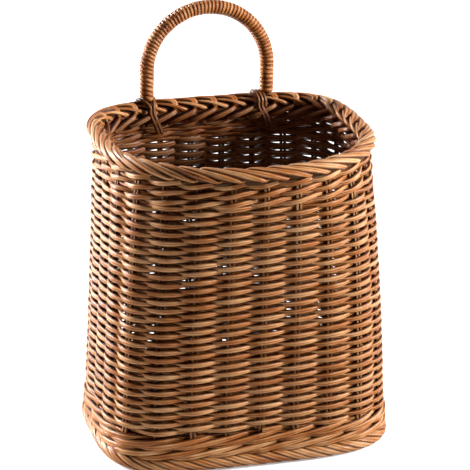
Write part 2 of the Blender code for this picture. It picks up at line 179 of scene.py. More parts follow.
class CaneColours(PropertyGroup):
    """Colours of the cane and the floor."""
    # shade is also the colour that the painted shade on the strands' edges and inner sides darkens towards
    shade: rgb("Shade", "Colour of the fibres' dark streaks", (0.090, 0.013, 0.0015))
    body: rgb("Body", "Main colour of the cane", (0.345, 0.104, 0.015))
    pale: rgb("Pale", "Colour of the pale streaks", (0.680, 0.383, 0.178))
    core: rgb("Core", "Colour of the handle's bare core", (0.045, 0.022, 0.013))
    floor: rgb("Floor", "Colour of the floor", (0.80, 0.80, 0.80))


class StageSizes(PropertyGroup):
    """Camera and lights."""
    azimuth: degrees("Azimuth", "How far the camera stands to the left of the front", 16)
    elevation: degrees("Elevation", "How far the camera stands above the horizon", 21)
    roll: degrees("Roll", "Turn of the picture", 1)
    distance: metres("Distance", "From the camera to its target", 2.035)
    lens: FloatProperty(name="Lens", description="Focal length in millimetres", default=183.8)
    target: FloatVectorProperty(
        name="Target", description="Point that the camera looks at", size=3, subtype="TRANSLATION",
        default=(0.0080, 0.0239, 0.1595))
    key_power: watts("Key power", "Power of the light at the right", 92)
    side_power: watts("Side power", "Power of the light at the left behind", 90)
    top_power: watts("Top power", "Power of the light above", 5)


def both_ways(operation):
    """An operator that adds a Math node, and its reflected form."""

    def forward(value, other):
        return value.math(operation, value, other)

    def reflected(value, other):
        return value.math(operation, other, value)

    return forward, reflected


class Value:
    """A socket of a node, on which a tree's maths is written as an expression."""
    __add__, __radd__ = both_ways("ADD")
    __sub__, __rsub__ = both_ways("SUBTRACT")
    __mul__, __rmul__ = both_ways("MULTIPLY")
    __truediv__, __rtruediv__ = both_ways("DIVIDE")
    __pow__, __rpow__ = both_ways("POWER")

    def __init__(self, graph, node, socket):
        self.graph, self.node, self.socket = graph, node, socket

    def __abs__(self):
        return self.math("ABSOLUTE", self)

    def out(self, name):
        return Value(self.graph, self.node, find_socket(self.node.outputs, name))

    def math(self, operation, *values):
        return self.graph.node("ShaderNodeMath", {"operation": operation}, dict(enumerate(values)))


def find_socket(sockets, key):
    """A socket by its place, its identifier or its name."""
    if isinstance(key, int):
        return sockets[key]
    for socket in sockets:
        if socket.identifier == key:
            return socket
    return sockets[key]


class Graph:
    """Builds the nodes of one tree, of a material, the world or a modifier."""

    def __init__(self, tree):
        self.tree = tree
        tree.nodes.clear()

    def node(self, kind, settings=None, inputs=None):
        """A node of a kind, its settings first, then the values or links of its sockets."""
        made = self.tree.nodes.new(kind)
        for name, value in (settings or {}).items():
            if name == "stops":
                set_stops(made.color_ramp, value)
            else:
                setattr(made, name, value)
        for key, value in (inputs or {}).items():
            socket = find_socket(made.inputs, key)
            if isinstance(value, Value):
                self.tree.links.new(value.socket, socket)
            else:
                socket.default_value = value
        outputs = [socket for socket in made.outputs if socket.enabled]
        return Value(self, made, outputs[0] if outputs else None)

    def mix(self, weight, first, second):
        return self.node("ShaderNodeMix", {"data_type": "RGBA", "clamp_factor": True}, {
            "Factor_Float": weight, "A_Color": opaque(first), "B_Color": opaque(second)}).out("Result_Color")

    def vector(self, x, y, z):
        return self.node("ShaderNodeCombineXYZ", None, {"X": x, "Y": y, "Z": z})

    def numbers(self, vector):
        """The three numbers of a vector."""
        split = self.node("ShaderNodeSeparateXYZ", None, {"Vector": vector})
        return split.out("X"), split.out("Y"), split.out("Z")

    def noise(self, place, scale, detail=2.0, roughness=0.5):
        return self.node(
            "ShaderNodeTexNoise", None,
            {"Vector": place, "Scale": scale, "Detail": detail, "Roughness": roughness}).out("Fac")

    def fit(self, value, low, high, to_low=0.0, to_high=1.0):
        """The value taken from one range to another, and held inside it."""
        return self.node("ShaderNodeMapRange", {"clamp": True}, {
            "Value": value, "From Min": low, "From Max": high, "To Min": to_low, "To Max": to_high})

    def surface(self, colour, rough, specular, height, strength, depth):
        """The material's surface, with bumps from a height."""
        bump = self.node("ShaderNodeBump", None, {"Strength": strength, "Distance": depth, "Height": height})
        self.show(self.node("ShaderNodeBsdfPrincipled", None, {
            "Base Color": colour, "Roughness": rough, "Specular IOR Level": specular, "Normal": bump}))

    def show(self, shader, kind="Material"):
        self.node("ShaderNodeOutput" + kind, None, {"Surface": shader})


def opaque(colour):
    if isinstance(colour, Value) or len(colour) == 4:
        return colour
    return (*colour, 1.0)


def set_stops(ramp, stops):
    while len(ramp.elements) < len(stops):
        ramp.elements.new(0.5)
    for element, (place, colour) in zip(ramp.elements, stops):
        element.position = place
        element.color = opaque(colour)


def scaled(colour, share):
    """A colour times a share, with no channel over 1."""
    return tuple(min(1.0, channel * share) for channel in colour)


def new_material(name):
    """A material without nodes, and the graph that builds them."""
    made = bpy.data.materials.new(name)
    made.use_nodes = True
    return made, Graph(made.node_tree)


def cane_material(name, tint=1.0, gloss=0.26, streak=1.0, ridge_place=0.44, edge_start=0.58):
    """Lacquered cane whose fibres run along each strand.

    The strand attribute holds the distance along a strand and the cosine and sine of the way round it, and
    the tone attribute how light the strand is. A flat strand has a ridge on both sides of its middle, and a
    rod (ridge_place 0) has one; the ridges are bumps and also painted highlights. Painted shade darkens the
    strand from edge_start outwards, where 1 is its edge, and on its inner side. tint multiplies the colours,
    gloss is the roughness of the streaks and streak their strength.
    """
    colours = bpy.context.scene.basket_colours
    made, graph = new_material(name)
    strand = graph.node("ShaderNodeAttribute", {"attribute_name": "strand"}).out("Vector")
    tone = graph.node("ShaderNodeAttribute", {"attribute_name": "tone"}).out("Fac")
    along, across, face = graph.numbers(strand)

    fibre = graph.noise(graph.vector(along * 30, across * 3.2, face * 3.2), 1.5, 3.0, 0.6)
    patch = graph.noise(graph.vector(along * 40, 0.0, 0.0), 1.0)
    # Painted highlight: besides their bumps, the ridges lift the colour towards pale along each strand, as
    # where light catches them
    ridge = graph.fit(abs(abs(across) - ridge_place), 0.58, 0.06)
    # Painted shade: darker towards the strand's edges, where it meets its neighbours, and on its inner side
    edge = graph.fit(abs(across), edge_start, 0.94)
    inside = graph.fit(face, -0.35, 0.15, 1.0, 0.0)

    streaks = graph.fit(fibre, 0.36, 0.66)
    light = graph.fit(patch + (tone - 0.5) * 0.35, 0.25, 0.75)
    level = graph.fit(ridge * 0.34 + streaks * (0.34 * streak) + light * 0.42 - 0.04, 0.0, 1.0)
    shade, body, pale = (scaled(colour, tint) for colour in (colours.shade, colours.body, colours.pale))
    stops = [(0.06, shade), (0.46, body), (0.96, pale)]
    colour = graph.node("ShaderNodeValToRGB", {"stops": stops}, {"Fac": level})
    # The painted shade mixes the edges and the inner side towards a darker shade colour
    colour = graph.mix(edge * 0.80, colour, scaled(shade, 0.30))
    colour = graph.mix(inside * 0.55, colour, scaled(shade, 0.60))
    rough = graph.fit(streaks, 0.0, 1.0, gloss + 0.12, gloss)
    graph.surface(colour, rough, 0.24, ridge * 0.8 + streaks * 0.40, 0.60, 0.0006)
    return made


def rod_material(name, colour, gloss):
    """Cane without a strand attribute, its fibres along X: along the base's sticks and across the core."""
    made, graph = new_material(name)
    place = graph.node("ShaderNodeTexCoord").out("Object")
    stretched = graph.node("ShaderNodeMapping", None, {"Vector": place, "Scale": (60.0, 900.0, 900.0)})
    streaks = graph.fit(graph.noise(stretched, 1.0, 3.0, 0.6), 0.3, 0.7)
    rough = graph.fit(streaks, 0.0, 1.0, gloss + 0.15, gloss)
    graph.surface(graph.mix(streaks, scaled(colour, 0.45), colour), rough, 0.15, streaks, 0.4, 0.0004)
    return made


def coat(look, *names):
    """Gives CAD nodes that stay a better material."""
    for name in names:
        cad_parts[name].data.materials.clear()
        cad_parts[name].data.materials.append(look)


class Wall:
    """The walls' middle surface, sampled as a table of plan outlines from the foot to the rim."""

    def __init__(self):
        sizes = bpy.context.scene.basket_wall
        self.levels = np.linspace(0.0, 1.0, WALL_LEVELS)
        tables, lengths = [], []
        angles = np.linspace(-math.pi / 2, 1.5 * math.pi, OUTLINE_SAMPLES + 1)
        cosines, sines = np.cos(angles), np.sin(angles)
        spread = np.arange(WALL_SHARES + 1) / WALL_SHARES
        for rise in self.levels:
            half_width = sizes.foot_half_width + (sizes.rim_half_width - sizes.foot_half_width) * rise
            front = sizes.foot_front + (sizes.rim_front - sizes.foot_front) * rise ** 2
            back = sizes.foot_back + (sizes.rim_back - sizes.foot_back) * rise ** 2
            power = np.where(sines < 0, front, back)
            radii = abs(cosines / half_width) ** power + abs(sines / sizes.half_depth) ** power
            radii = radii ** (-1 / power)
            points = np.column_stack([radii * cosines, radii * sines])
            steps = np.linalg.norm(np.diff(points, axis=0), axis=1)
            shares = np.concatenate([[0.0], np.cumsum(steps)]) / steps.sum()
            x, y = (np.interp(spread, shares, points[:, axis]) for axis in (0, 1))
            ahead = np.column_stack([np.roll(x[:-1], -1) - np.roll(x[:-1], 1),
                                     np.roll(y[:-1], -1) - np.roll(y[:-1], 1)])
            ahead /= np.linalg.norm(ahead, axis=1)[:, None]
            ahead = np.vstack([ahead, ahead[:1]])
            tables.append(np.column_stack([x, y, ahead[:, 1], -ahead[:, 0]]))
            lengths.append(steps.sum())
        self.table = np.array(tables)
        self.lengths = np.array(lengths)

    def length(self, height):
        return np.interp(np.asarray(height) / RIM_MIDDLE, self.levels, self.lengths)

    def place(self, height, share, outward=0.0, lift=0.0):
        """(points, outward directions) beside the middle surface. At least one of the four is an array."""
        height, share, outward, lift = np.broadcast_arrays(
            *(np.asarray(value, dtype=float) for value in (height, share, outward, lift)))
        level = np.clip(height / RIM_MIDDLE, 0.0, 1.0) * (WALL_LEVELS - 1)
        low = np.minimum(level.astype(int), WALL_LEVELS - 2)
        column = (share % 1.0) * WALL_SHARES
        left = np.minimum(column.astype(int), WALL_SHARES - 1)
        up, over = (level - low)[:, None], (column - left)[:, None]
        below = self.table[low, left] * (1 - over) + self.table[low, left + 1] * over
        above = self.table[low + 1, left] * (1 - over) + self.table[low + 1, left + 1] * over
        found = below * (1 - up) + above * up
        normals = found[:, 2:] / np.linalg.norm(found[:, 2:], axis=1)[:, None]
        flat = found[:, :2] + normals * outward[:, None]
        points = np.column_stack([flat, height + lift])
        return points, np.column_stack([normals, np.zeros(len(normals))])


def smooth_noise(count, step, seed):
    """Values from -1 to 1 that wander slowly, one for each of count places."""
    random = np.random.default_rng(seed)
    knots = random.uniform(-1, 1, int(count / step) + 3)
    return np.interp(np.arange(count) / step, np.arange(len(knots)), knots)


def runs_of_tone(count, run, seed):
    """Values from 0 to 1, one for each of count places, that stay the same for a run of places."""
    return np.repeat(np.random.default_rng(seed).uniform(size=count // run + 1), run)[:count]


class Strands:
    """Centre lines of one piece's strands, which one Geometry Nodes tree sweeps into cane."""
    # How far one strand's fibres start past those of the strand before, so that no two look the same
    FIBRE_SHIFT = 0.05

    def __init__(self):
        self.points, self.edges, self.count = [], [], 0
        self.values = {"outward": [], "wide": [], "thick": [], "along": [], "tone": []}

    def add(self, points, outward, wide, thick, tone, closed=False):
        points = np.asarray(points, dtype=float)
        amount = len(points)
        steps = np.linalg.norm(np.diff(points, axis=0), axis=1)
        self.points.append(points)
        first = self.count + np.arange(amount - 1)
        self.edges.append(np.column_stack([first, first + 1]))
        if closed:
            self.edges.append(np.array([[self.count + amount - 1, self.count]]))
        self.count += amount
        self.values["outward"].append(np.broadcast_to(outward, (amount, 3)))
        self.values["wide"].append(np.broadcast_to(wide, amount))
        self.values["thick"].append(np.broadcast_to(thick, amount))
        start = len(self.points) * self.FIBRE_SHIFT
        self.values["along"].append(start + np.concatenate([[0.0], np.cumsum(steps)]))
        self.values["tone"].append(np.broadcast_to(tone, amount))

    def swept(self, name, sides, look, slot, *nodes):
        """The finished piece, which replaces the named CAD nodes."""
        weave = bpy.context.scene.basket_weave
        guide = bpy.data.meshes.new(name + "_guide")
        guide.from_pydata(np.vstack(self.points).tolist(), np.vstack(self.edges).tolist(), [])
        for key, values in self.values.items():
            kind, field = ("FLOAT_VECTOR", "vector") if key == "outward" else ("FLOAT", "value")
            attribute = guide.attributes.new(key, kind, "POINT")
            attribute.data.foreach_set(field, np.concatenate(values).astype(np.float32).ravel())
        holder = bpy.data.objects.new(name + "_guide", guide)
        bpy.context.scene.collection.objects.link(holder)
        tree = sweep_tree()
        modifier = holder.modifiers.new("Sweep", "NODES")
        modifier.node_group = tree
        wanted = {"Sides": sides, "Unevenness": weave.unevenness, "Seed": float(weave.seed), "Material": look}
        for item in tree.interface.items_tree:
            if item.item_type == "SOCKET" and item.in_out == "INPUT" and item.name in wanted:
                modifier[item.identifier] = wanted[item.name]
        bpy.context.view_layer.update()
        graph = bpy.context.evaluated_depsgraph_get()
        mesh = bpy.data.meshes.new_from_object(
            holder.evaluated_get(graph), preserve_all_data_layers=True, depsgraph=graph)
        bpy.data.objects.remove(holder)
        bpy.data.meshes.remove(guide)
        return finished(name, mesh, look, slot, *nodes)


def finished(name, mesh, look, slot, *nodes):
    """An object at the origin that rides on the basket and stands for the named CAD nodes."""
    mesh.name = name
    if signed_volume(mesh) < 0:
        mesh.flip_normals()
    mesh.materials.clear()
    mesh.materials.append(look)
    piece = bpy.data.objects.new(name, mesh)
    bpy.context.scene.collection.objects.link(piece)
    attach(piece, BODY)
    if nodes:
        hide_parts(*nodes)
    return piece


def signed_volume(mesh):
    mesh.calc_loop_triangles()
    points = np.empty(len(mesh.vertices) * 3, np.float32)
    mesh.vertices.foreach_get("co", points)
    corners = np.empty(len(mesh.loop_triangles) * 3, np.int32)
    mesh.loop_triangles.foreach_get("vertices", corners)
    first, second, third = points.reshape(-1, 3)[corners.reshape(-1, 3)].transpose(1, 0, 2)
    return float(np.einsum("ij,ij->i", first, np.cross(second, third)).sum())


# Scale of the noise that a strand swells by, along it
SWELLS = 70.0


def sweep_tree():
    """Geometry Nodes tree that sweeps an oval section along every strand of a guide.

    A guide's points carry the way out of the wall, the section's width and thickness, the distance
    along the strand and its tone. The section's width lies square to the way out.
    """
    name = "Strand sweep"
    if name in bpy.data.node_groups:
        return bpy.data.node_groups[name]
    graph = Graph(bpy.data.node_groups.new(name, "GeometryNodeTree"))
    sockets = graph.tree.interface
    sockets.new_socket("Geometry", in_out="INPUT", socket_type="NodeSocketGeometry")
    sockets.new_socket("Sides", in_out="INPUT", socket_type="NodeSocketInt").default_value = 8
    sockets.new_socket("Unevenness", in_out="INPUT", socket_type="NodeSocketFloat").default_value = 0.1
    sockets.new_socket("Seed", in_out="INPUT", socket_type="NodeSocketFloat").default_value = 7.0
    sockets.new_socket("Material", in_out="INPUT", socket_type="NodeSocketMaterial")
    sockets.new_socket("Geometry", in_out="OUTPUT", socket_type="NodeSocketGeometry")
    given = graph.node("NodeGroupInput")

    def named(key, kind="FLOAT"):
        return graph.node("GeometryNodeInputNamedAttribute", {"data_type": kind}, {"Name": key})

    def vector_math(operation, *values, **inputs):
        return graph.node("ShaderNodeVectorMath", {"operation": operation},
                          {**dict(enumerate(values)), **inputs})

    def kept(geometry, value, key, kind="FLOAT_VECTOR"):
        stored = graph.node("GeometryNodeStoreNamedAttribute", {"data_type": kind, "domain": "POINT"},
                            {"Geometry": geometry, "Name": key})
        place = next(socket for socket in stored.node.inputs if socket.name == "Value" and socket.enabled)
        graph.tree.links.new(value.socket, place)
        return stored.out("Geometry")

    curves = graph.node("GeometryNodeMeshToCurve", None, {"Mesh": given.out("Geometry")}).out("Curve")
    curves = kept(curves, graph.node("GeometryNodeInputPosition"), "centre")
    curves = kept(curves, graph.node("GeometryNodeInputTangent"), "ahead")
    # The circle only counts the points round the section, so its radius has no effect
    circle = graph.node("GeometryNodeCurvePrimitiveCircle", {"mode": "RADIUS"},
                        {"Resolution": given.out("Sides"), "Radius": 0.001}).out("Curve")
    turn = graph.node("GeometryNodeSplineParameter").out("Factor") * (2 * math.pi)
    circle = kept(circle, turn, "turn", "FLOAT")
    swept = graph.node("GeometryNodeCurveToMesh", None, {
        "Curve": curves, "Profile Curve": circle, "Fill Caps": True}).out("Mesh")

    way_out, ahead = named("outward", "FLOAT_VECTOR"), named("ahead", "FLOAT_VECTOR")
    across = vector_math("NORMALIZE", vector_math("CROSS_PRODUCT", ahead, way_out))
    angle, along = named("turn"), named("along")
    cosine, sine = angle.math("COSINE", angle), angle.math("SINE", angle)
    noise = graph.noise(graph.vector(along * SWELLS, 0.0, given.out("Seed")), 1.0, 1.0)
    # The widths are whole ones, so the half of each is taken here too
    swell = ((noise - 0.5) * 2.0 * given.out("Unevenness") + 1.0) * 0.5
    sideways = vector_math("SCALE", across, Scale=named("wide") * swell * cosine)
    outwards = vector_math("SCALE", way_out, Scale=named("thick") * swell * sine)
    moved = vector_math("ADD", named("centre", "FLOAT_VECTOR"), vector_math("ADD", sideways, outwards))
    placed = graph.node("GeometryNodeSetPosition", None, {"Geometry": swept, "Position": moved})
    placed = kept(placed, graph.vector(along, cosine, sine), "strand")
    smooth = graph.node("GeometryNodeSetShadeSmooth", None, {"Geometry": placed})
    real = graph.node("GeometryNodeRealizeInstances", None, {"Geometry": smooth})
    coated = graph.node("GeometryNodeSetMaterial", None, {
        "Geometry": real, "Material": given.out("Material")})
    graph.node("NodeGroupOutput", None, {0: coated})
    return graph.tree


def flattened_wave(phase, stiffness=0.6):
    """Cosine of the phase with flatter tops, as a strand lies over a pair of uprights."""
    return np.tanh(stiffness * np.cos(phase)) / math.tanh(stiffness)


def smooth_path(stops, samples, first=0.0):
    """Columns of a Catmull-Rom curve through the stops, sampled from the first place to the last stop."""
    stops = np.array(stops, dtype=float)
    padded = np.vstack([2 * stops[0] - stops[1], stops, 2 * stops[-1] - stops[-2]])
    places = np.linspace(first, len(stops) - 1, samples)
    low = np.minimum(places.astype(int), len(stops) - 2)
    t = (places - low)[:, None]
    before, start, end, after = (padded[low + step] for step in range(4))
    curve = 0.5 * (2 * start + (end - before) * t + (2 * before - 5 * start + 4 * end - after) * t ** 2
                   + (3 * start - before - 3 * end + after) * t ** 3)
    return curve.T


def tipped(outward, angle):
    """Directions turned from outward towards up by an angle each."""
    return outward * np.cos(angle)[:, None] + UP * np.sin(angle)[:, None]


# The base ends this far inside the middle of the walls
BASE_INSET = 0.0064
BASE_EDGE_SAMPLES = 720
BASE_STRAND_SAMPLES = 60


class BASKET_OT_base(Operator):
    """Weaves the base's strands across its sticks"""
    bl_idname = "basket.base"
    bl_label = "Weave Base"

    def execute(self, context):
        weave = context.scene.basket_weave
        edge = Wall().place(0.0, np.arange(BASE_EDGE_SAMPLES) / BASE_EDGE_SAMPLES, -BASE_INSET)[0]
        edge = edge[np.argsort(edge[:, 0])]
        halves = edge[edge[:, 1] <= 0], edge[edge[:, 1] > 0]
        reach = edge[:, 0].max() - weave.base_pitch
        rows = int(2 * reach / weave.base_pitch)
        stick_places = [(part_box(name)[0][1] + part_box(name)[1][1]) / 2 for name in STICKS]
        gap = stick_places[1] - stick_places[0]
        stick_low, stick_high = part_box(STICKS[0])
        swing = (stick_high[2] - stick_low[2]) / 2 + weave.strand_depth / 2
        strands = Strands()
        random = np.random.default_rng(weave.seed)
        for row in range(rows + 1):
            x = -reach + 2 * reach * row / rows
            front, back = (np.interp(x, half[:, 0], half[:, 1]) for half in halves)
            y = np.linspace(front, back, BASE_STRAND_SAMPLES)
            wave = flattened_wave(math.pi * ((y - stick_places[0]) / gap + row))
            points = np.column_stack([np.full(BASE_STRAND_SAMPLES, x), y, MAT_MIDDLE + swing * wave])
            wide = weave.base_pitch * (0.98 + 0.12 * abs(wave))
            strands.add(points, UP, wide, weave.strand_depth, random.uniform())
        look = cane_material("cane_base", tint=0.8, gloss=0.42)
        strands.swept("base_weave", 8, look, "base_weave", "base_mat")
        coat(rod_material("cane_sticks", context.scene.basket_colours.body, gloss=0.45), *STICKS)
        return {"FINISHED"}


# How far the side strand wanders up and down, and in and out as a share of its swing
SIDE_WANDER = 0.00025
SIDE_SWING_WANDER = 0.08
# Points of the side strand in one tone, and on each side of a point that its tone is levelled over
SIDE_TONE_RUN = 90
SIDE_TONE_BLUR = 10


class BASKET_OT_sides(Operator):
    """Weaves the walls with one strand that climbs round the basket"""
    bl_idname = "basket.sides"
    bl_label = "Weave Sides"

    def execute(self, context):
        weave = context.scene.basket_weave
        look = cane_material("cane_sides")
        pitch = (SIDE_TOP - SIDE_BOTTOM) / (weave.rows + 1)
        places = np.arange(weave.rows * STAKE_COUNT * UPRIGHT_SAMPLES + 1) / UPRIGHT_SAMPLES
        laps = places / STAKE_COUNT
        heights = SIDE_BOTTOM + pitch * (0.5 + laps)
        # 1 at the middle of the front and 0 at the middle of the back
        front = (1 + np.cos(2 * math.pi * laps)) / 2
        phase = math.pi * (places - weave.lag * (0.25 + 0.75 * front))
        wave = flattened_wave(phase)
        count = len(places)
        lift = smooth_noise(count, 17, weave.seed) * SIDE_WANDER
        lift = lift + weave.slant * front * np.sin(phase) + weave.dip / 2 * wave
        swing = weave.swing * (1 + SIDE_SWING_WANDER * smooth_noise(count, 10, weave.seed + 1))
        points, outward = Wall().place(heights, laps, swing * wave, lift)
        share = weave.back_crossing_share + (weave.crossing_share - weave.back_crossing_share) * front
        growth = 1 + weave.back_growth * (1 - front)
        tall = weave.strand_height * (share + (1 - share) * wave ** 2) * growth
        tones = np.pad(runs_of_tone(count, SIDE_TONE_RUN, weave.seed), SIDE_TONE_BLUR, "edge")
        blur = np.ones(2 * SIDE_TONE_BLUR + 1)
        tones = np.convolve(tones, blur / len(blur), "valid")
        middle = (weave.rows // 2 * STAKE_COUNT + 1) * UPRIGHT_SAMPLES
        lower, upper = slice(0, middle + 1), slice(middle, count)
        for name, part in (("side_weave_lower", lower), ("side_weave_upper", upper)):
            strands = Strands()
            strands.add(points[part], outward[part], tall[part], weave.strand_depth, tones[part])
            strands.swept(name, 8, look, "side_weave", "side_weave")
        return {"FINISHED"}


# The uprights end this far below the foot border's top and below the rim's middle
UPRIGHT_FOOT_DEPTH = 0.004
UPRIGHT_RIM_DEPTH = 0.002
UPRIGHT_WANDER = 0.0002


class BASKET_OT_uprights(Operator):
    """Sets the paired uprights inside the walls"""
    bl_idname = "basket.uprights"
    bl_label = "Set Uprights"

    def execute(self, context):
        weave = context.scene.basket_weave
        wall = Wall()
        strands = Strands()
        random = np.random.default_rng(weave.seed + 2)
        heights = np.linspace(FOOT_TOP - UPRIGHT_FOOT_DEPTH, RIM_MIDDLE - UPRIGHT_RIM_DEPTH, 16)
        for stake in range(STAKE_COUNT):
            for side in (-0.5, 0.5):
                shift = side * weave.upright_spacing + random.uniform(-1, 1) * UPRIGHT_WANDER
                points, outward = wall.place(heights, stake / STAKE_COUNT + shift / wall.length(heights))
                strands.add(points, outward, weave.upright_diameter, weave.upright_diameter, random.uniform())
        look = cane_material("cane_uprights", tint=0.75, gloss=0.42)
        strands.swept("uprights", 8, look, "stakes", *STAKES)
        return {"FINISHED"}


# Courses of a band's strand, which passes outside one upright or two. The rows are places in uprights, shares
# of the band's swing outward and shares of a row's height upward.
PAIRED_COURSE = (
    (0.0, 0.25, 0.5, 0.75, 1.0, 1.25, 1.5, 1.75, 2.0),
    (1.0, 0.88, 0.28, -0.55, -0.95, -0.80, -0.20, 0.62, 1.0),
    (0.0, 0.17, 0.24, 0.17, 0.0, -0.17, -0.24, -0.17, 0.0))
TRIPLE_COURSE = (
    (0.0, 0.5, 1.0, 1.25, 1.5, 1.75, 2.0, 2.25, 2.5, 2.75, 3.0),
    (1.12, 1.05, 0.92, 0.60, -0.05, -0.65, -1.0, -0.70, 0.25, 0.85, 1.12),
    (-0.25, 0.0, 0.25, 0.36, 0.42, 0.25, 0.0, -0.25, -0.42, -0.36, -0.25))

BAND_WANDER = 0.0002
BAND_TONE_RUN = 30


def wale_band(name, bottom, top, rows, course, node):
    """A band of twisted rows, whose strands rise outside and go inside above the next one."""
    sizes = bpy.context.scene.basket_borders
    seed = bpy.context.scene.basket_weave.seed
    wall = Wall()
    row_height = (top - bottom) / rows
    stops, ways, levels = course
    count = int(stops[-1]) * STAKE_COUNT * UPRIGHT_SAMPLES
    places = np.arange(count) / UPRIGHT_SAMPLES
    strands = Strands()
    for row in range(rows):
        phase = (places + row) % stops[-1]
        wave = np.interp(phase, stops, ways)
        heights = bottom + row_height * (row + 0.5) + row_height * np.interp(phase, stops, levels)
        heights = heights + smooth_noise(count, 25, seed + row + 5) * BAND_WANDER
        points, outward = wall.place(heights, places / STAKE_COUNT, sizes.wale_swing * wave)
        tall = sizes.wale_share * row_height * (0.88 + 0.12 * wave ** 2)
        tones = runs_of_tone(count, BAND_TONE_RUN, seed + row)
        strands.add(points, outward, tall, sizes.wale_depth, tones, closed=True)
    lining = sizes.lining_diameter
    for row in range(rows + 1):
        bundle(strands, bottom + row_height * row, [(-0.4 * lining, 0.0)], lining)
    strands.swept(name, 10, cane_material("cane_" + name, tint=1.05, gloss=0.28), "border", node)


# How far the bands run on past their CAD nodes, into the foot border, the side weave and the rim
FOOT_BAND_DROP = 0.0015
TOP_BAND_DROP = 0.0022
TOP_BAND_RISE = 0.0032


class BASKET_OT_foot_band(Operator):
    """Twists the band of rows above the foot border"""
    bl_idname = "basket.foot_band"
    bl_label = "Twist Foot Band"

    def execute(self, context):
        low, high = (corner[2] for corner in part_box("foot_wale"))
        rows = context.scene.basket_borders.foot_rows
        wale_band("foot_band", low - FOOT_BAND_DROP, high, rows, TRIPLE_COURSE, "foot_wale")
        return {"FINISHED"}


class BASKET_OT_top_band(Operator):
    """Twists the band of rows under the rim"""
    bl_idname = "basket.top_band"
    bl_label = "Twist Top Band"

    def execute(self, context):
        low, high = (corner[2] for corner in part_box("top_wale"))
        rows = context.scene.basket_borders.top_rows
        wale_band("top_band", low - TOP_BAND_DROP, high + TOP_BAND_RISE, rows, PAIRED_COURSE, "top_wale")
        return {"FINISHED"}


ROD_SAMPLES = 30
ROD_WANDER = 0.0008
ROD_SIZE_WANDER = 0.03


def rolled_rods(strands, count, section, ring, path, seed, start=0.0):
    """Flat rods rolled round a ring, at equal distances along it.

    section holds a rod's width and thickness. ring holds its height, its distance out of the wall's middle,
    its half width and its half height. path holds stops of (angle in degrees, advance along the ring, share
    of the ring's size, share of the rod's width). start shifts the rods by a share of their distance.
    """
    wall = Wall()
    wide, thick = section
    middle, out, half_width, half_height = ring
    length = wall.length(middle)
    turn, advance, size, width = smooth_path(path, ROD_SAMPLES)
    angle = np.radians(turn)
    random = np.random.default_rng(seed)
    for rod in range(count):
        along = advance + random.uniform(-1, 1) * ROD_WANDER
        grown = size * (1 + ROD_SIZE_WANDER * random.uniform(-1, 1))
        points, outward = wall.place(
            middle, (rod + start) / count + along / length,
            out + (half_width * grown - thick / 2) * np.cos(angle),
            (half_height * grown - thick / 2) * np.sin(angle))
        ahead = np.gradient(points, axis=0)
        facing = np.cross(np.cross(ahead, tipped(outward, angle)), ahead)
        facing /= np.linalg.norm(facing, axis=1)[:, None]
        strands.add(points, facing, wide * width, thick, random.uniform())


def bundle(strands, middle, places, diameter):
    """Closed rods along a ring at (outward, lift) places, as the runs inside a border and a band's lining."""
    wall = Wall()
    for tone, (outward, lift) in enumerate(places):
        points, facing = wall.place(middle, np.arange(300) / 300, outward, lift)
        strands.add(points, facing, diameter, diameter, tone / len(places), closed=True)


# Stops of the rim's rods as rolled_rods takes them, but with the advance as a share of rim_advance. A rod
# comes up inside, leans over the top and runs down outside, and the rods under it fill the inner side.
RIM_PATH = (
    (236, 0.0, 0.62, 0.8), (205, 0.02, 0.82, 0.9), (172, 0.04, 0.92, 1.0), (142, 0.05, 0.96, 1.15),
    (122, 0.06, 1.06, 1.30), (104, 0.10, 1.17, 1.30), (86, 0.24, 1.19, 1.15), (66, 0.43, 1.12, 1.0),
    (44, 0.62, 1.06, 0.95), (20, 0.80, 1.02, 0.90), (-4, 0.94, 0.99, 0.80), (-30, 1.05, 0.93, 0.7),
    (-54, 1.12, 0.66, 0.6))
RIM_UNDER_PATH = (
    (218, 0.0, 0.72, 0.8), (184, 0.09, 0.93, 0.75), (157, 0.22, 1.00, 0.65), (136, 0.36, 1.00, 0.6),
    (116, 0.50, 0.88, 0.55), (86, 0.60, 0.62, 0.5))
# The ring that the rods are rolled round: half its width, how far its middle lies inside the CAD rim's outer
# side, and how much lower its top is than the CAD rim's
RIM_HALF_WIDTH = 0.0078
RIM_SIDE_INSET = 0.0075
RIM_TOP_INSET = 0.0002
# Runs of rod inside the rim: six round the ring's middle, and two below on both sides of the wall's middle
RIM_RUN_DIAMETER = 0.0040
RIM_RUN_REACH, RIM_RUN_RISE = 0.0034, 0.0026
RIM_LOW_RUNS = ((-0.0022, -0.0056), (0.0022, -0.0056))
# Stops of a rod's tail under the inner side: way along the rim, way outward and lift
TAIL_PATH = (
    (0.0, -0.0010, -0.0022), (0.0045, -0.0056, -0.0034), (0.0125, -0.0076, -0.0062),
    (0.0205, -0.0076, -0.0094), (0.0270, -0.0052, -0.0124))
TAIL_SAMPLES = 16
TAIL_WANDER = 0.0006
TAIL_WIDTH_SHARE = 0.82


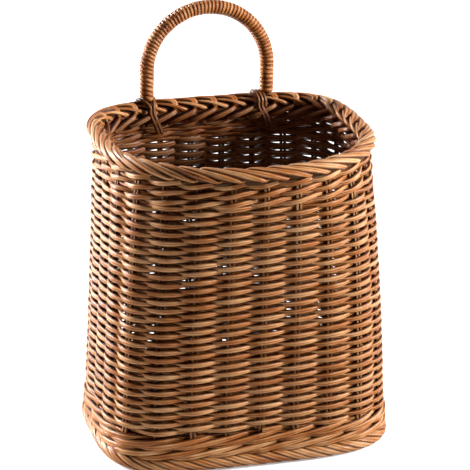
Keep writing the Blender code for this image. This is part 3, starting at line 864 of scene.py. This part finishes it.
class BASKET_OT_rim(Operator):
    """Rolls the rods of the rim border over its top"""
    bl_idname = "basket.rim"
    bl_label = "Roll Rim Border"

    def execute(self, context):
        sizes = context.scene.basket_borders
        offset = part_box("rim_border")[1][1] - context.scene.basket_wall.half_depth - RIM_SIDE_INSET
        ring = (RIM_MIDDLE, offset, RIM_HALF_WIDTH, (RIM_TOP - RIM_BOTTOM) / 2 - RIM_TOP_INSET)
        path, under = ([(turn, sizes.rim_advance * share, size, width) for turn, share, size, width in stops]
                       for stops in (RIM_PATH, RIM_UNDER_PATH))
        section = (sizes.rim_rod_width, sizes.rim_rod_thickness)
        strands = Strands()
        rolled_rods(strands, sizes.rim_rods, section, ring, path, seed=11)
        rolled_rods(strands, sizes.rim_rods, section, ring, under, seed=12, start=0.5)
        self.add_tails(strands, sizes.rim_rods, section)
        look = cane_material("cane_rim", tint=1.1, gloss=0.27)
        strands.swept("rim_rods", 12, look, "border", "rim_border")
        inner = Strands()
        places = [(offset + RIM_RUN_REACH * math.cos(turn), RIM_RUN_RISE * math.sin(turn))
                  for turn in np.radians(np.arange(0, 360, 60))]
        bundle(inner, RIM_MIDDLE, places + list(RIM_LOW_RUNS), RIM_RUN_DIAMETER)
        # Painted shade: the runs inside the rim are tinted far darker than the rods, as they lie in the
        # border's shade
        look = cane_material("cane_rim_bundle", tint=0.22, gloss=0.85)
        inner.swept("rim_bundle", 6, look, "border", "rim_border")
        return {"FINISHED"}

    def add_tails(self, strands, count, section):
        """Ends of the rods, which run on inside the walls under the border and slope down."""
        wall = Wall()
        wide, thick = section
        along, outward, lift = smooth_path(TAIL_PATH, TAIL_SAMPLES)
        random = np.random.default_rng(13)
        for tail in range(count):
            share = (tail + random.uniform(-0.1, 0.1)) / count
            points, normals = wall.place(
                RIM_MIDDLE, share + along / wall.length(RIM_MIDDLE), outward,
                lift + random.uniform(-1, 1) * TAIL_WANDER)
            strands.add(points, normals, wide * TAIL_WIDTH_SHARE, thick, random.uniform())


# Stops of the foot's rods as rolled_rods takes them, with the advance in metres
FOOT_PATH = (
    (130, 0.0, 0.75, 0.8), (85, 0.006, 0.95, 0.95), (45, 0.016, 1.03, 1.0), (8, 0.026, 1.03, 1.0),
    (-30, 0.036, 1.0, 1.0), (-70, 0.045, 1.0, 1.0), (-110, 0.052, 0.97, 0.9), (-160, 0.058, 0.88, 0.8))
# The ring that they are rolled round: how far its middle lies out of the walls' middle, half its width, how
# much less its half height is than the CAD foot's, and how far it is lifted off the ground
FOOT_OUT = -0.0012
FOOT_HALF_WIDTH = 0.0068
FOOT_HEIGHT_INSET = 0.0004
FOOT_LIFT = 0.0003
# Runs of rod inside the foot, as places outward from the walls' middle and up from the ring's
FOOT_RUN_DIAMETER = 0.0046
FOOT_RUNS = ((-0.0012, 0.0018), (-0.0012, -0.0022), (-0.0052, -0.0030), (-0.0052, 0.0020), (-0.0086, -0.0046))


class BASKET_OT_foot(Operator):
    """Rolls the rods of the foot border down the outside and under the base"""
    bl_idname = "basket.foot"
    bl_label = "Roll Foot Border"

    def execute(self, context):
        sizes = context.scene.basket_borders
        half_height = FOOT_TOP / 2 - FOOT_HEIGHT_INSET
        middle = half_height + FOOT_LIFT
        ring = (middle, FOOT_OUT, FOOT_HALF_WIDTH, half_height)
        section = (sizes.foot_rod_width, sizes.foot_rod_thickness)
        strands = Strands()
        rolled_rods(strands, sizes.foot_rods, section, ring, FOOT_PATH, seed=21)
        strands.swept("foot_rods", 12, cane_material("cane_foot", gloss=0.28), "border", "foot_border")
        inner = Strands()
        bundle(inner, middle, FOOT_RUNS, FOOT_RUN_DIAMETER)
        # Painted shade: the runs inside the foot are tinted darker than the rods, as they lie in the border's
        # shade
        look = cane_material("cane_foot_bundle", tint=0.35, gloss=0.5)
        inner.swept("foot_bundle", 6, look, "border", "foot_border")
        return {"FINISHED"}


# The winding starts this far above the rim's top
WRAP_START = 0.0030
# The turns close up from the legs' pitch to the arch's between these distances from an end
PITCH_CHANGE = (0.012, 0.045)
# The turns' lean changes from the left leg's to the arch's between these shares of the handle's length
TILT_CHANGE = (0.12, 0.35)
WRAP_SAMPLES = 18
# The strip is wider than a turn's pitch, so that each turn lies on the one before
WRAP_OVERLAP = 1.28
WRAP_WANDER = 0.03


def handle_path():
    """Fine centre line of the handle above the rim, from the left leg to the right."""
    spring = RIM_MIDDLE + bpy.context.scene.basket_handle.leg_height
    angles = np.linspace(0, math.pi, 400)
    heights = spring + (HANDLE_TOP - spring) * np.sin(angles)
    arch = np.column_stack([-HANDLE_HALF_SPAN * np.cos(angles), heights])
    start = RIM_TOP + WRAP_START
    return np.vstack([[-HANDLE_HALF_SPAN, start], arch, [HANDLE_HALF_SPAN, start]])


class BASKET_OT_handle(Operator):
    """Winds the handle's strand round its core"""
    bl_idname = "basket.handle"
    bl_label = "Wrap Handle"

    def execute(self, context):
        sizes = context.scene.basket_handle
        line = handle_path()
        steps = np.diff(line, axis=0)
        lengths = np.linalg.norm(steps, axis=1)
        total = lengths.sum()
        distances = np.concatenate([[0.0], np.cumsum(lengths)])
        fine = np.linspace(0, total, 4000)
        pitch = np.interp(np.minimum(fine, total - fine), PITCH_CHANGE, [sizes.leg_pitch, sizes.arch_pitch])
        turns = np.concatenate([[0.0], np.cumsum(1 / pitch[:-1] * np.diff(fine))])
        count = int(turns[-1] * WRAP_SAMPLES)
        turn = np.arange(count) / WRAP_SAMPLES
        side, back = np.sin(2 * math.pi * turn), np.cos(2 * math.pi * turn)
        along = np.interp(turn, turns, fine)
        tilt = np.interp(along / total, TILT_CHANGE, [sizes.left_tilt, sizes.arch_tilt])
        along = np.clip(along + tilt * side, 0.0, total)
        tangents = steps / lengths[:, None]
        middles = (distances[1:] + distances[:-1]) / 2
        x, z = (np.interp(along, distances, line[:, axis]) for axis in (0, 1))
        tx, tz = (np.interp(along, middles, tangents[:, axis]) for axis in (0, 1))
        outward = np.column_stack([-tz * side, back, tx * side])
        outward /= np.linalg.norm(outward, axis=1)[:, None]
        centre = np.column_stack([x, np.full(count, HANDLE_DEPTH), z])
        radius = HANDLE_OUTER - sizes.strip_thickness / 2
        uneven = 1 + WRAP_WANDER * smooth_noise(count, WRAP_SAMPLES, seed=32)
        tone = 0.45 + 0.35 * smooth_noise(count, WRAP_SAMPLES * 1.3, seed=31)
        wide = np.interp(along, fine, pitch) * WRAP_OVERLAP
        strands = Strands()
        strands.add(centre + outward * (radius * uneven)[:, None], outward, wide, sizes.strip_thickness, tone)
        look = cane_material("cane_wrap", tint=1.1, gloss=0.28, streak=0.8, ridge_place=0.0, edge_start=0.80)
        strands.swept("handle_winding", 8, look, "wrap", "handle_wrap")
        look = rod_material("handle_core_rod", context.scene.basket_colours.core, gloss=0.35)
        coat(look, "handle_core")
        return {"FINISHED"}


LASHING_SAMPLES = 60
# The back wall, as shares of the way round, between which a leg's place is looked for
BACK_SHARES = np.linspace(0.3, 0.7, 400)
# Where a lashing touches the rim's inner and outer side, out of the wall's middle, and its gap over the top
LASHING_INNER, LASHING_OUTER = -0.0066, 0.0094
LASHING_GAP = 0.0008


class BASKET_OT_lashings(Operator):
    """Ties the handle's legs to the back wall"""
    bl_idname = "basket.lashings"
    bl_label = "Tie Lashings"

    def execute(self, context):
        look = cane_material("cane_lashing", tint=0.55, gloss=0.28, ridge_place=0.0)
        leg = CORE_DIAMETER / 2 + context.scene.basket_handle.lashing_diameter
        runs = {
            ("lashing_left", -1): [(0.0080, 0.0006, -leg, 0), (0.0114, 0.0040, leg, 0)],
            ("lashing_right", 1): [(0.0005, -0.0084, -leg * 1.95, 0), (0.0039, -0.0050, -leg * 1.4, 0),
                                   (0.0020, -0.0022, -leg * 0.85, 2)],
        }
        for (name, side), ways in runs.items():
            strands = Strands()
            for tone, way in enumerate(ways):
                self.run(context, strands, side, way, 0.3 + 0.2 * tone)
            strands.swept(name + "_strands", 8, look, "wrap", name)
        return {"FINISHED"}

    def run(self, context, strands, side, way, tone):
        """One strand from inside the back wall, over the rim beside a leg and down outside.

        way holds how far to the leg's right it runs at its lower end, on the rim's inside and on its top, and
        the stop that it starts at.
        """
        wall = Wall()
        diameter = context.scene.basket_handle.lashing_diameter
        radius = diameter / 2
        back = wall.place(RIM_MIDDLE, BACK_SHARES)[0]
        share = np.interp(-side * HANDLE_HALF_SPAN, -back[:, 0], BACK_SHARES)
        low, inside, top, first = way
        inner, outer = LASHING_INNER - radius, LASHING_OUTER + radius
        over = (RIM_TOP - RIM_BOTTOM) / 2 + radius + LASHING_GAP
        stops = [
            (low, inner + 0.0006, -0.0200), (low * 0.55 + inside * 0.45, inner, -0.0110),
            (inside, inner, -0.0020), (inside, inner + 0.0010, 0.0036),
            (inside * 0.55 + top * 0.45, -0.0048, over - 0.0014), (top, -0.0010, over + 0.0004),
            (top, 0.0034, over), (top, 0.0074, over - 0.0030), (top, outer, 0.0004),
            (top * 0.8, outer - 0.0008, -0.0050)]
        along, outward, lift = smooth_path(stops, LASHING_SAMPLES, first)
        points, normals = wall.place(RIM_MIDDLE, share - along / wall.length(RIM_MIDDLE), outward, lift)
        facing = tipped(normals, np.arctan2(lift + 0.002, outward - 0.0018))
        strands.add(points, facing, diameter * 1.15, diameter, tone)


FLOOR_HALF = 7.0
# How strongly the floor shines for rays that see it directly, and the world's light for all other rays
FLOOR_GLOW = 0.62
WORLD_LIGHT = 0.03
# Each lamp's name, place, size and the setting that holds its power
LAMPS = (
    ("key_light", (1.86, -0.58, 0.92), 0.45, "key_power"),
    ("side_light", (-1.30, 1.12, 0.50), 0.5, "side_power"),
    ("top_light", (0.1, 0.2, 1.9), 1.2, "top_power"))


def seen_directly(rays, behind):
    """1 for rays that see the pale backdrop, which in reflections stands behind the basket only."""
    seen = rays.math("MAXIMUM", rays.out("Is Camera Ray"), rays.out("Is Transmission Ray"))
    return rays.math("MAXIMUM", seen, rays.out("Is Glossy Ray") * behind)


class BASKET_OT_stage(Operator):
    """Lays the floor and sets the camera and the lights"""
    bl_idname = "basket.stage"
    bl_label = "Set Stage"

    def execute(self, context):
        self.lay_floor(context)
        self.set_world(context)
        self.set_camera(context)
        for lamp in LAMPS:
            self.add_light(context, *lamp)
        context.scene.view_settings.view_transform = "Standard"
        return {"FINISHED"}

    def lay_floor(self, context):
        mesh = bpy.data.meshes.new("floor")
        corners = [(-FLOOR_HALF, -FLOOR_HALF, 0), (FLOOR_HALF, -FLOOR_HALF, 0), (FLOOR_HALF, FLOOR_HALF, 0),
                   (-FLOOR_HALF, FLOOR_HALF, 0)]
        mesh.from_pydata(corners, [], [(0, 1, 2, 3)])
        made, graph = new_material("pale_floor")
        sizes = context.scene.basket_wall
        x, y, _ = graph.numbers(graph.node("ShaderNodeTexCoord").out("Object"))
        rays = graph.node("ShaderNodeLightPath")
        seen = seen_directly(rays, graph.fit(y, -sizes.half_depth, sizes.half_depth * 3))
        across, deep = abs(x) / sizes.foot_half_width, abs(y) / sizes.half_depth
        # Painted shadow under the basket: 0 there, where the floor doesn't shine, and 1 beside it
        beside = graph.fit(across ** 4 + deep ** 4, 0.6, 1.3)
        colour = opaque(context.scene.basket_colours.floor)
        diffuse = graph.node("ShaderNodeBsdfDiffuse", None, {"Color": colour})
        strength = seen * beside * FLOOR_GLOW
        glow = graph.node("ShaderNodeEmission", None, {"Color": WHITE, "Strength": strength})
        graph.show(graph.node("ShaderNodeAddShader", None, {0: diffuse, 1: glow}))
        mesh.materials.append(made)
        floor = bpy.data.objects.new("floor", mesh)
        context.scene.collection.objects.link(floor)

    def set_world(self, context):
        world = bpy.data.worlds.new("studio")
        context.scene.world = world
        world.use_nodes = True
        graph = Graph(world.node_tree)
        rays = graph.node("ShaderNodeLightPath")
        depth = graph.numbers(graph.node("ShaderNodeTexCoord").out("Generated"))[1]
        seen = seen_directly(rays, graph.fit(depth, -0.2, 0.5))
        strength = seen * (1 - WORLD_LIGHT) + WORLD_LIGHT
        light = graph.node("ShaderNodeBackground", None, {"Color": WHITE, "Strength": strength})
        graph.show(light, "World")

    def set_camera(self, context):
        stage = context.scene.basket_stage
        azimuth, elevation, roll = stage.azimuth, stage.elevation, stage.roll
        ahead = Vector((math.sin(azimuth) * math.cos(elevation), math.cos(azimuth) * math.cos(elevation),
                        -math.sin(elevation)))
        level = Vector((math.cos(azimuth), -math.sin(azimuth), 0))
        above = level.cross(ahead)
        right = level * math.cos(roll) + above * math.sin(roll)
        up = above * math.cos(roll) - level * math.sin(roll)
        data = bpy.data.cameras.new("camera")
        data.sensor_width = 36.0
        data.lens = stage.lens
        camera = bpy.data.objects.new("camera", data)
        context.scene.collection.objects.link(camera)
        turned = Matrix((right, up, -ahead)).transposed().to_4x4()
        camera.matrix_world = Matrix.Translation(Vector(stage.target) - ahead * stage.distance) @ turned
        context.scene.camera = camera

    def add_light(self, context, name, place, size, setting):
        data = bpy.data.lights.new(name, "AREA")
        data.size = size
        data.energy = getattr(context.scene.basket_stage, setting)
        light = bpy.data.objects.new(name, data)
        context.scene.collection.objects.link(light)
        light.location = place
        middle = Vector((0, 0, RIM_MIDDLE / 2))
        light.rotation_euler = (middle - light.location).to_track_quat("-Z", "Y").to_euler()


class BASKET_PT_panel(Panel):
    """Sizes and steps of the basket"""
    bl_label = "Basket"
    bl_idname = "BASKET_PT_panel"
    bl_space_type = "VIEW_3D"
    bl_region_type = "UI"
    bl_category = "Basket"

    def draw(self, context):
        for group in SETTINGS:
            box = self.layout.box()
            settings = getattr(context.scene, group)
            for key in settings.__annotations__:
                box.prop(settings, key)
        for step in STEPS:
            self.layout.operator(step.bl_idname)


SETTINGS = {
    "basket_wall": WallSizes, "basket_weave": WeaveSizes, "basket_borders": BorderSizes,
    "basket_handle": HandleSizes, "basket_colours": CaneColours, "basket_stage": StageSizes,
}
STEPS = (
    BASKET_OT_base, BASKET_OT_foot, BASKET_OT_foot_band, BASKET_OT_uprights, BASKET_OT_sides,
    BASKET_OT_top_band, BASKET_OT_rim, BASKET_OT_handle, BASKET_OT_lashings, BASKET_OT_stage,
)


def register():
    for name, group in SETTINGS.items():
        bpy.utils.register_class(group)
        setattr(bpy.types.Scene, name, PointerProperty(type=group))
    for step in (*STEPS, BASKET_PT_panel):
        bpy.utils.register_class(step)


def unregister():
    for step in (BASKET_PT_panel, *reversed(STEPS)):
        bpy.utils.unregister_class(step)
    for name, group in SETTINGS.items():
        delattr(bpy.types.Scene, name)
        bpy.utils.unregister_class(group)


def main():
    register()
    for step in STEPS:
        group, action = step.bl_idname.split(".")
        getattr(getattr(bpy.ops, group), action)()


if __name__ == "__main__":
    main()
